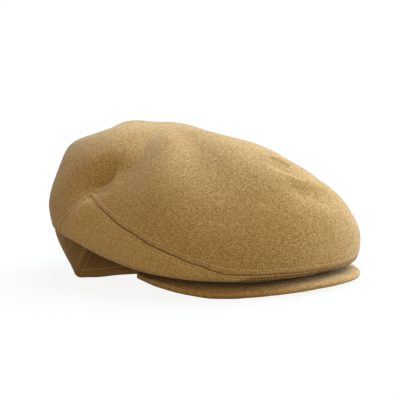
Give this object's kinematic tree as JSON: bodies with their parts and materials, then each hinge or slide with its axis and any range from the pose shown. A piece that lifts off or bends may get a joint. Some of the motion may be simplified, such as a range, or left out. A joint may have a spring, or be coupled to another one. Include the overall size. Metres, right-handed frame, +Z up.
{
  "type": "flat cap",
  "caption": "Soft cloth flat cap with a large top panel, side panels, a rolled overhanging fold and a short stiff curved peak.",
  "frame": {"origin": "on the surface the cap rests on, under the middle of its box", "axes": "+Z up, -Y towards the front of the cap and its peak, +X towards the wearer's left"},
  "size_m": [0.1928, 0.2669, 0.1139],
  "materials": {
    "crown_cloth": "brushed wool cloth with a short mottled nap, matte camel brown",
    "peak_cloth": "the same brushed cloth drawn tight over a stiff board"
  },
  "bodies": {
    "root": {"crown_top": "crown_cloth", "side_panel_right": "crown_cloth", "side_panel_left": "crown_cloth", "peak": "peak_cloth"}
  },
  "joints": []
}
